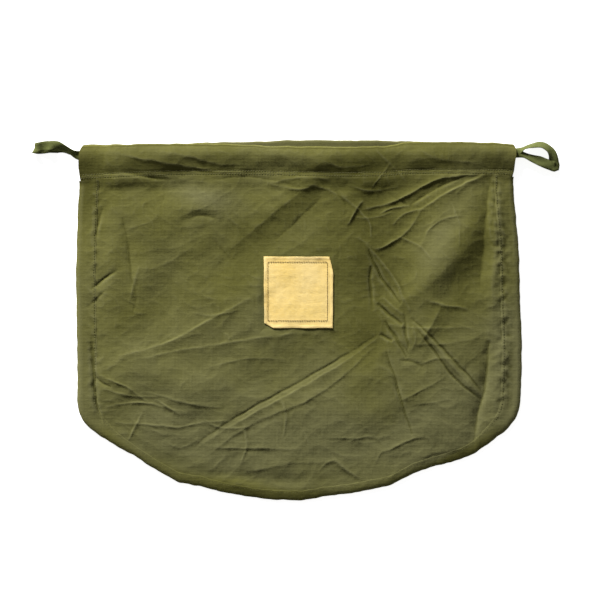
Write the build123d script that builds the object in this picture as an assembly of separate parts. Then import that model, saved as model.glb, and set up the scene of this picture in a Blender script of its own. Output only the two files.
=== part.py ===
from build123d import *
import math
import os

# A two-panel drawstring cloth bag, lying flat on its back, in millimetres.
# +Z is up through the front panel, +Y points out of the mouth and +X to the right of the
# front. The origin is the middle of the bag's outline, on the surface that it lies on.

# Driving dimensions
BAG_WIDTH = 562.0
BAG_HEIGHT = 456.0
CASING_LENGTH = 556.0  # the hem tunnel is open at both ends
CASING_DEPTH = 42.0
CASING_RISE = 4.0  # height of the hem tunnel over the panel's underside
CORNER_RADIUS = 50.0
BOTTOM_RADIUS = 430.0  # the bag's bottom is one long arc
CLOTH = 0.8
FRONT_LEVEL = 10.0  # underside of the front panel over the floor
SEAM_WIDTH = 25.0
GAP = 0.3  # running clearance between the two bodies of cloth
THREAD_WIDTH = 0.5
THREAD_HEIGHT = 0.4
HEM_ROWS = (2.0, 6.5)  # the two stitch rows, up from the hem's lower edge
FLAT_HEM = 9.0  # the sewn flat of the hem below its tunnel
SEAM_ROW = 22.0  # stitch row of the side and bottom seams, in from the bag's edge
LABEL_WIDTH = 87.2
LABEL_HEIGHT = 90.3
LABEL_MIDDLE_Y = 35.6
LABEL_THICKNESS = 0.6
LABEL_ROW = 6.3  # stitch line, in from the label's edge
TAPE_WIDTH = 12.7
TAPE_THICKNESS = 1.0
TAPE_Y = 214.5  # middle of the tape in its tunnel
TAPE_RISE = 1.75  # middle of the tape over the panel's underside
STRAND_END = CASING_LENGTH / 2 + GAP

# Routes of the two drawstring loops: the left one folds back over itself, as (x, z), and the
# right one lies open on the floor round an eye, as (x, y).
LEFT_ROUTE = [
    (-278.3, 1.75),
    (-288.0, 1.75),
    (-303.0, 0.8),
    (-333.0, 0.8),
    (-333.5, 3.4),
    (-306.0, 3.6),
    (-290.0, 11.75),
    (-278.3, 11.75),
]
RIGHT_ROUTE = [
    (286.0, 215.5),
    (296.0, 219.5),
    (308.0, 221.5),
    (319.5, 216.5),
    (325.5, 205.0),
    (320.5, 194.5),
    (308.5, 197.0),
    (297.0, 201.0),
    (286.0, 206.0),
]
RIGHT_TAPE_WIDTH = 6.8  # the tape lies half turned on its edge round the eye
RIGHT_TAPE_THICKNESS = 2.4

HALF_WIDTH = BAG_WIDTH / 2
TOP = BAG_HEIGHT / 2
HEM_Y = TOP - CASING_DEPTH
BOTTOM_CENTRE_Y = BOTTOM_RADIUS - BAG_HEIGHT / 2
CORNER_X = HALF_WIDTH - CORNER_RADIUS
CORNER_Y = BOTTOM_CENTRE_Y - math.sqrt((BOTTOM_RADIUS - CORNER_RADIUS) ** 2 - CORNER_X**2)
CORNER_SWEEP = math.degrees(math.atan2(BOTTOM_CENTRE_Y - CORNER_Y, CORNER_X))


def slab(face, low, high):
    """A flat face drawn at z = 0, as a plate from low to high."""
    return Pos(0, 0, low) * extrude(face, amount=high - low)


def bag_outline(inset):
    """The bag's outline below the hem, moved in by inset: two sides, two corners and the bottom."""
    side = HALF_WIDTH - inset
    corner = CORNER_RADIUS - inset
    bottom = BOTTOM_RADIUS - inset
    edges = [
        Line((-side, HEM_Y), (side, HEM_Y)),
        Line((side, HEM_Y), (side, CORNER_Y)),
        CenterArc((CORNER_X, CORNER_Y), corner, -CORNER_SWEEP, CORNER_SWEEP),
        CenterArc((0, BOTTOM_CENTRE_Y), bottom, CORNER_SWEEP - 180, 180 - 2 * CORNER_SWEEP),
        CenterArc((-CORNER_X, CORNER_Y), corner, 180, CORNER_SWEEP),
        Line((-side, CORNER_Y), (-side, HEM_Y)),
    ]
    return make_face(edges)


def seam_profile():
    """Section of a seam band: s in from the bag's edge, z up. It rounds from panel to panel."""
    top = FRONT_LEVEL + CLOTH
    flat = SEAM_WIDTH - 5.0
    foot = 1.5 * CLOTH
    edges = [
        Line((foot, CLOTH), (0, CLOTH)),
        TangentArc((flat, top), (0, CLOTH), tangent=(-1, 0)),
        Line((flat, top), (SEAM_WIDTH, top)),
        Line((SEAM_WIDTH, top), (SEAM_WIDTH, FRONT_LEVEL)),
        Line((SEAM_WIDTH, FRONT_LEVEL), (flat, FRONT_LEVEL)),
        TangentArc((flat, FRONT_LEVEL), (foot, CLOTH), tangent=(-1, 0)),
    ]
    return make_face(edges)


def seam_thread_profile():
    """Section of a seam's thread, on the seam band's flat."""
    top = FRONT_LEVEL + CLOTH
    return Pos(SEAM_ROW, top + THREAD_HEIGHT / 2) * Rectangle(THREAD_WIDTH, THREAD_HEIGHT)


def along_side(profile, side):
    """A profile run up a straight side of the bag; side is -1 at the left and 1 at the right."""
    start = HEM_Y - GAP
    plane = Plane(origin=(side * HALF_WIDTH, start, 0), x_dir=(-side, 0, 0), z_dir=(0, side, 0))
    return extrude(plane * profile, amount=-side * (start - CORNER_Y))


def along_bottom(profile):
    """A profile turned round the two corners and the bottom arc."""
    parts = []
    turns = [
        (CORNER_X, CORNER_Y, CORNER_RADIUS, -CORNER_SWEEP, CORNER_SWEEP),
        (0, BOTTOM_CENTRE_Y, BOTTOM_RADIUS, CORNER_SWEEP - 180, 180 - 2 * CORNER_SWEEP),
        (-CORNER_X, CORNER_Y, CORNER_RADIUS, 180, CORNER_SWEEP),
    ]
    for x, y, radius, start, sweep_angle in turns:
        outward = Vector(math.cos(math.radians(start)), math.sin(math.radians(start)), 0)
        across = Vector(0, 0, 1).cross(outward)
        centre = Vector(x, y, 0)
        plane = Plane(origin=centre + outward * radius, x_dir=-outward, z_dir=across)
        parts.append(revolve(plane * profile, Axis(centre, (0, 0, 1)), sweep_angle))
    return parts[0].fuse(*parts[1:]).clean()


def casing(level):
    """The hem turned over and sewn flat at its lower edge, open as a tunnel along its top."""
    tunnel_y = HEM_Y + FLAT_HEM
    fold_y = TOP - CASING_RISE / 2
    crown_y = (tunnel_y + fold_y) / 2
    two_layers = level + 2 * CLOTH
    top = level + CASING_RISE
    middle = level + CASING_RISE / 2
    outer = [
        Line((HEM_Y, level), (fold_y, level)),
        ThreePointArc((fold_y, level), (TOP, middle), (fold_y, top)),
        ThreePointArc((fold_y, top), (crown_y, top - 0.1), (tunnel_y, two_layers)),
        Line((tunnel_y, two_layers), (HEM_Y, two_layers)),
        Line((HEM_Y, two_layers), (HEM_Y, level)),
    ]
    start_y = tunnel_y + 2.0
    floor_z = level + CLOTH
    roof_z = top - CLOTH
    inner = [
        Line((start_y, floor_z), (fold_y, floor_z)),
        ThreePointArc((fold_y, floor_z), (TOP - CLOTH, middle), (fold_y, roof_z)),
        ThreePointArc((fold_y, roof_z), (crown_y + 1.0, roof_z - 0.15), (start_y, floor_z)),
    ]
    section = make_face(outer) - make_face(inner)
    plane = Plane(origin=(-CASING_LENGTH / 2, 0, 0), x_dir=(0, 1, 0), z_dir=(1, 0, 0))
    return extrude(plane * section, amount=CASING_LENGTH)


def hem_threads(level):
    """The two rows of thread along a hem, on its two layers."""
    top = level + 2 * CLOTH
    rows = []
    for row in HEM_ROWS:
        thread = Pos(0, HEM_Y + row) * Rectangle(CASING_LENGTH, THREAD_WIDTH)
        rows.append(slab(thread, top, top + THREAD_HEIGHT))
    return Compound(children=rows)


def tape_strand(side, level, end):
    """The tape's straight half inside a hem tunnel, from the middle of the mouth to its end."""
    middle_gap = GAP / 2
    strand = Pos(side * (end + middle_gap) / 2, TAPE_Y) * Rectangle(end - middle_gap, TAPE_WIDTH)
    middle = level + TAPE_RISE
    return slab(strand, middle - TAPE_THICKNESS / 2, middle + TAPE_THICKNESS / 2)


def arc_radii(points):
    """A tangent arc for each inner point: 0.45 of its shorter run over the half turn's tangent."""
    radii = []
    for before, at, after in zip(points, points[1:], points[2:]):
        run_in = Vector(*at) - Vector(*before)
        run_out = Vector(*after) - Vector(*at)
        half_turn = math.radians(run_in.get_angle(run_out)) / 2
        radii.append(0.45 * min(run_in.length, run_out.length) / math.tan(half_turn))
    return radii


def tape_along(name, points, width_dir, width, thickness):
    """A flat tape swept along straight runs joined by tangent arcs."""
    radii = arc_radii(points)
    print(name, "arc radii", [round(radius, 1) for radius in radii])
    route = FilletPolyline(*points, radius=radii)
    plane = Plane(origin=route @ 0, x_dir=width_dir, z_dir=route % 0)
    tape = sweep(plane * Rectangle(width, thickness), path=route)
    print(name, "volume", round(tape.volume), "section x length", round(width * thickness * route.length))
    return tape


def left_loop():
    """The left loop: the tape folded back over itself, flat on the floor."""
    points = [(x, TAPE_Y, z) for x, z in LEFT_ROUTE]
    return tape_along("left_loop", points, (0, 1, 0), TAPE_WIDTH, TAPE_THICKNESS)


def right_loop():
    """The right loop: the tape lying open round an eye."""
    middle = RIGHT_TAPE_THICKNESS / 2
    points = [(x, y, middle) for x, y in RIGHT_ROUTE]
    across = (Vector(*points[1]) - Vector(*points[0])).cross(Vector(0, 0, 1))
    return tape_along("right_loop", points, across, RIGHT_TAPE_WIDTH, RIGHT_TAPE_THICKNESS)


def right_neck():
    """The gathered neck where both tapes leave the right end of the hem."""
    start = STRAND_END
    end = RIGHT_ROUTE[0][0] + 1.0
    outline = Polyline(
        (start, 1.0),
        (end, 0.2),
        (end, RIGHT_TAPE_THICKNESS),
        (start + 3.0, FRONT_LEVEL + 2.2),
        (start, FRONT_LEVEL + 2.4),
        close=True,
    )
    plane = Plane(origin=(0, RIGHT_ROUTE[0][1] + 2.5, 0), x_dir=(1, 0, 0), z_dir=(0, -1, 0))
    return extrude(plane * make_face(outline), amount=TAPE_WIDTH)


def label():
    """The square cloth label on the front panel."""
    face = Pos(0, LABEL_MIDDLE_Y) * Rectangle(LABEL_WIDTH, LABEL_HEIGHT)
    low = FRONT_LEVEL + CLOTH
    return slab(face, low, low + LABEL_THICKNESS)


def label_thread():
    """The closed line of thread that holds the label."""
    outer = Rectangle(LABEL_WIDTH - 2 * LABEL_ROW, LABEL_HEIGHT - 2 * LABEL_ROW)
    inset = 2 * (LABEL_ROW + THREAD_WIDTH)
    inner = Rectangle(LABEL_WIDTH - inset, LABEL_HEIGHT - inset)
    low = FRONT_LEVEL + CLOTH + LABEL_THICKNESS
    return slab(Pos(0, LABEL_MIDDLE_Y) * (outer - inner), low, low + THREAD_HEIGHT)


nodes = {
    "back_panel": slab(bag_outline(0), 0, CLOTH),
    "back_casing": casing(0),
    "back_casing_stitching": hem_threads(0),
    "left_seam_band": along_side(seam_profile(), -1),
    "right_seam_band": along_side(seam_profile(), 1),
    "bottom_seam_band": along_bottom(seam_profile()),
    "left_seam_stitching": along_side(seam_thread_profile(), -1),
    "right_seam_stitching": along_side(seam_thread_profile(), 1),
    "bottom_seam_stitching": along_bottom(seam_thread_profile()),
    "front_panel": slab(bag_outline(SEAM_WIDTH + GAP), FRONT_LEVEL, FRONT_LEVEL + CLOTH),
    "front_casing": casing(FRONT_LEVEL),
    "front_casing_stitching": hem_threads(FRONT_LEVEL),
    "label_patch": label(),
    "label_stitching": label_thread(),
    "left_strand_back": tape_strand(-1, 0, STRAND_END),
    "left_strand_front": tape_strand(-1, FRONT_LEVEL, STRAND_END - GAP),
    "left_loop": left_loop(),
    "right_strand_back": tape_strand(1, 0, STRAND_END),
    "right_strand_front": tape_strand(1, FRONT_LEVEL, STRAND_END - GAP),
    "right_neck": right_neck(),
    "right_loop": right_loop(),
}

os.makedirs("parts", exist_ok=True)
for name, solid in nodes.items():
    export_step(solid, f"parts/{name}.step")
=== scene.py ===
import math

import bpy
import numpy as np
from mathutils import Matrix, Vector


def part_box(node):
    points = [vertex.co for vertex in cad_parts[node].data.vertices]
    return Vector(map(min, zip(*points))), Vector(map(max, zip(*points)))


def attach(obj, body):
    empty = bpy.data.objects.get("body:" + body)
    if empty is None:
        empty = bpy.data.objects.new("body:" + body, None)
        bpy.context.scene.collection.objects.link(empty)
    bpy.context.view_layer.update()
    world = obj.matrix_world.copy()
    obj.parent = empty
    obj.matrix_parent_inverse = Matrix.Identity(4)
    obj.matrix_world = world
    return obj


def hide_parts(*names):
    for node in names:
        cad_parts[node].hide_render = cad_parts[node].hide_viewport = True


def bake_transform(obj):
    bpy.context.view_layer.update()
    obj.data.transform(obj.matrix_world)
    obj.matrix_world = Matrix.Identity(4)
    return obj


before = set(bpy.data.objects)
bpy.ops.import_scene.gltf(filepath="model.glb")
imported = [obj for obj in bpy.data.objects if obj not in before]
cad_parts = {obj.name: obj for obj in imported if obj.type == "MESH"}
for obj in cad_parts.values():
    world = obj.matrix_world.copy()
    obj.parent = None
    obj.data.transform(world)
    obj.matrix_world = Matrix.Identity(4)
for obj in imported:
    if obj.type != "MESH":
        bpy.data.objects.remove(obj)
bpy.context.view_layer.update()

# All shapes below are worked out in millimetres in the model's own frame: +X to the right of the
# bag's front, +Y out of its mouth, +Z up. MM turns them into Blender's metres.
MM = 0.001


def corners(node):
    """A CAD node's lowest and highest corner, in millimetres."""
    low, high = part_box(node)
    return np.array(low) / MM, np.array(high) / MM


# Driving sizes, from the frame
panel_low, panel_high = corners("back_panel")
hem_low, hem_high = corners("front_casing")
label_low, label_high = corners("label_patch")
HALF_WIDTH = panel_high[0]
BOTTOM = panel_low[1]
HEM_Y = hem_low[1]
TOP = hem_high[1]
HEM_HALF = hem_high[0] + 1.2
LABEL_LEFT, LABEL_RIGHT = label_low[0], label_high[0]
LABEL_BOTTOM, LABEL_TOP = label_low[1], label_high[1]

# The outline's arcs, as in the CAD
CORNER_RADIUS = 50.0
BOTTOM_RADIUS = 430.0
BOTTOM_CENTRE_Y = BOTTOM_RADIUS + BOTTOM
CORNER_X = HALF_WIDTH - CORNER_RADIUS
CORNER_Y = BOTTOM_CENTRE_Y - math.sqrt((BOTTOM_RADIUS - CORNER_RADIUS) ** 2 - CORNER_X**2)
CORNER_SWEEP = math.atan2(BOTTOM_CENTRE_Y - CORNER_Y, CORNER_X)

# Cloth
CLOTH = 0.5  # thickness of one layer
STEP = 1.3  # spacing of the front cloth's points
COARSE_STEP = 3.0  # spacing of the back cloth's points
REST_HEIGHT = 7.6  # height of the front cloth in the middle of the bag
EDGE_HEIGHT = 1.6
EDGE_BODY = 3.2  # the part of the rise that is spread over a wide outer strip
BODY_REACH = 60.0  # that strip's width, which doubles along the bottom
EDGE_ROUNDING = 7.0  # how far in the cloth takes to rise from its edge
# Where the lower edge rolls under, and where the cloth falls more steeply under the hem:
# (x, reach, strength)
TURNED_DOWN = [(-46, 64, 2.1), (188, 44, 1.5)]
HEM_FALLS = [(46, 50, 1.2), (-190, 60, 0.7), (160, 40, -0.3)]
MARGIN = 8.5  # the front cloth runs this far under the seam bands
BACK_MARGIN = 2.5  # the back cloth ends this far inside the bag's outline
SIDE_BAND = 25.0
BOTTOM_BAND = 12.0
HEM_RISE = 2.6  # the cloth rises by this to the hem's stitches
LOWEST_TOP = 1.9  # the front's upper side never sinks below this
HEM_END_HEIGHT = 6.2  # the hem stays open over the tape at its two ends
ROW_INSET = 2.2  # a seam's stitches, in from the band's free edge
HEM_ROWS = (2.0, 6.5)
PITCH = 3.4  # from stitch to stitch
STITCH_LIFT = 0.15  # how far a stitch's middle stands off the cloth


# ---- camera, light, floor


# The camera looks straight down at the bag. Metres.
CAMERA_HEIGHT = 2.6
CAMERA_X, CAMERA_Y = 0.0019, 0.0259
PICTURE_WIDTH = 0.758  # seen at the height of the bag's front
FRONT_HEIGHT = 0.009


def make_camera():
    data = bpy.data.cameras.new("camera")
    data.sensor_width = 36.0
    data.lens = data.sensor_width * (CAMERA_HEIGHT - FRONT_HEIGHT) / PICTURE_WIDTH
    camera = bpy.data.objects.new("camera", data)
    bpy.context.collection.objects.link(camera)
    camera.location = (CAMERA_X, CAMERA_Y, CAMERA_HEIGHT)
    camera.rotation_euler = (0, 0, 0)
    bpy.context.scene.camera = camera


# The key light comes in low over the mouth, from a little to the left, so that the creases stand out
KEY_AZIMUTH = 115.0
KEY_HEIGHT = 18.0
KEY_DISTANCE = 5.0
KEY_SIZE = 1.1
KEY_POWER = 740.0
SKY_STRENGTH = 0.15
FLOOR_REACH = 6.0
FLOOR_GLOW = 0.85  # keeps the floor pure white under the low light


def make_key_light():
    data = bpy.data.lights.new("key_light", "AREA")
    data.size = KEY_SIZE
    data.energy = KEY_POWER
    light = bpy.data.objects.new("key_light", data)
    bpy.context.collection.objects.link(light)
    azimuth, height = math.radians(KEY_AZIMUTH), math.radians(KEY_HEIGHT)
    level = KEY_DISTANCE * math.cos(height)
    light.location = (level * math.cos(azimuth), level * math.sin(azimuth), KEY_DISTANCE * math.sin(height))
    light.rotation_euler = (-light.location).to_track_quat("-Z", "Y").to_euler()


def make_studio():
    make_key_light()
    world = bpy.data.worlds.new("studio_world")
    world.use_nodes = True
    background = world.node_tree.nodes["Background"]
    background.inputs["Color"].default_value = (1, 1, 1, 1)
    background.inputs["Strength"].default_value = SKY_STRENGTH
    bpy.context.scene.world = world
    bpy.context.scene.view_settings.view_transform = "Standard"
    bpy.context.scene.view_settings.look = "None"

    mesh = bpy.data.meshes.new("floor")
    signs = [(-1, -1), (1, -1), (1, 1), (-1, 1)]
    mesh.from_pydata([(a * FLOOR_REACH, b * FLOOR_REACH, 0) for a, b in signs], [], [(0, 1, 2, 3)])
    floor = bpy.data.objects.new("floor", mesh)
    bpy.context.collection.objects.link(floor)
    material = bpy.data.materials.new("floor_white")
    material.use_nodes = True
    shader = material.node_tree.nodes["Principled BSDF"]
    shader.inputs["Base Color"].default_value = (0.93, 0.93, 0.93, 1)
    shader.inputs["Roughness"].default_value = 0.9
    shader.inputs["Specular IOR Level"].default_value = 0.1
    shader.inputs["Emission Color"].default_value = (1, 1, 1, 1)
    shader.inputs["Emission Strength"].default_value = FLOOR_GLOW
    mesh.materials.append(material)


# ---- noise and creases


def smooth_step(value, low, high):
    t = np.clip((value - low) / (high - low), 0, 1)
    return t * t * (3 - 2 * t)


def noise(x, y, scale, seed):
    """Gradient noise of about -1 to 1, one bump per scale millimetres."""
    size = 64
    angles = np.random.default_rng(seed).uniform(0, 2 * math.pi, (size, size))
    gx, gy = np.cos(angles), np.sin(angles)
    u, v = np.asarray(x) / scale, np.asarray(y) / scale
    iu, iv = np.floor(u).astype(int), np.floor(v).astype(int)
    fu, fv = u - iu, v - iv
    su, sv = fu**3 * (fu * (6 * fu - 15) + 10), fv**3 * (fv * (6 * fv - 15) + 10)

    def corner(du, dv):
        i, j = (iu + du) % size, (iv + dv) % size
        return gx[i, j] * (fu - du) + gy[i, j] * (fv - dv)

    low = corner(0, 0) * (1 - su) + corner(1, 0) * su
    high = corner(0, 1) * (1 - su) + corner(1, 1) * su
    return (low * (1 - sv) + high * sv) * 1.5


def hump(value, place, reach):
    """1 at a place, falling smoothly to 0 over the reach on both sides of it."""
    return np.exp(-(((value - place) / reach) ** 2))


def humps(x, places):
    """The sum of humps from (place, reach, strength) rows."""
    return sum(strength * hump(x, place, reach) for place, reach, strength in places)


def turned(x, y, degrees, stretch=1.0):
    """Coordinates along and across a direction, with what lies along it drawn out."""
    angle = math.radians(degrees)
    along = (x * math.cos(angle) + y * math.sin(angle)) / stretch
    across = -x * math.sin(angle) + y * math.cos(angle)
    return along, across


def ridges(x, y, scale, seed):
    """Sharp-crested noise of 0 to 1: cloth's creases stand up along lines."""
    return np.clip(1 - 2.2 * np.abs(noise(x, y, scale, seed)), 0, 1) ** 1.5


def smooth_line(points, spacing=4.0):
    """Points along a smooth curve through a few given ones."""
    points = np.array(points, float)
    if len(points) == 2:
        parts = max(2, int(np.linalg.norm(points[1] - points[0]) / spacing))
        return points[0] + np.linspace(0, 1, parts + 1)[:, None] * (points[1] - points[0])
    padded = np.vstack([2 * points[0] - points[1], points, 2 * points[-1] - points[-2]])
    out = []
    for a, b, c, d in zip(padded, padded[1:], padded[2:], padded[3:]):
        parts = max(2, int(np.linalg.norm(c - b) / spacing))
        t = np.linspace(0, 1, parts, endpoint=False)[:, None]
        square, cube = 2 * a - 5 * b + 4 * c - d, 3 * b - a - 3 * c + d
        out.append(0.5 * (2 * b + (c - a) * t + square * t**2 + cube * t**3))
    return np.vstack([*out, points[-1:]])


def crease(x, y, points, height, left, right):
    """One crease along a line: a crest (or a groove, where height is below 0) whose two sides fall away
    over the distances left and right of the line's direction. It fades out at both ends."""
    line = smooth_line(points)
    reach = 4 * max(left, right)
    total = np.zeros_like(x)
    near = (
        (x > line[:, 0].min() - reach)
        & (x < line[:, 0].max() + reach)
        & (y > line[:, 1].min() - reach)
        & (y < line[:, 1].max() + reach)
    )
    if not near.any():
        return total
    px, py = x[near], y[near]
    best = np.full(px.shape, 1e9)
    side = np.zeros_like(px)
    place = np.zeros_like(px)
    runs = np.diff(line, axis=0)
    lengths = np.linalg.norm(runs, axis=1)
    starts = np.concatenate([[0], np.cumsum(lengths)])
    for (ax, ay), (rx, ry), length, start in zip(line, runs, lengths, starts):
        t = np.clip(((px - ax) * rx + (py - ay) * ry) / length**2, 0, 1)
        dx, dy = px - ax - t * rx, py - ay - t * ry
        distance = np.hypot(dx, dy)
        closer = distance < best
        best = np.where(closer, distance, best)
        side = np.where(closer, rx * dy - ry * dx, side)
        place = np.where(closer, start + t * length, place)
    unevenness = 1 + 0.4 * noise(place, 7.3 * starts[-1] + 0 * place, 21, 15)
    width = np.where(side > 0, left, right) * (1.6 - 0.6 * unevenness)
    along = place / starts[-1]
    fade = np.sin(math.pi * np.clip(along, 0, 1)) ** 0.6 * unevenness
    total[near] = height * fade * np.exp(-((best / width) ** 1.25))
    return total
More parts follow.
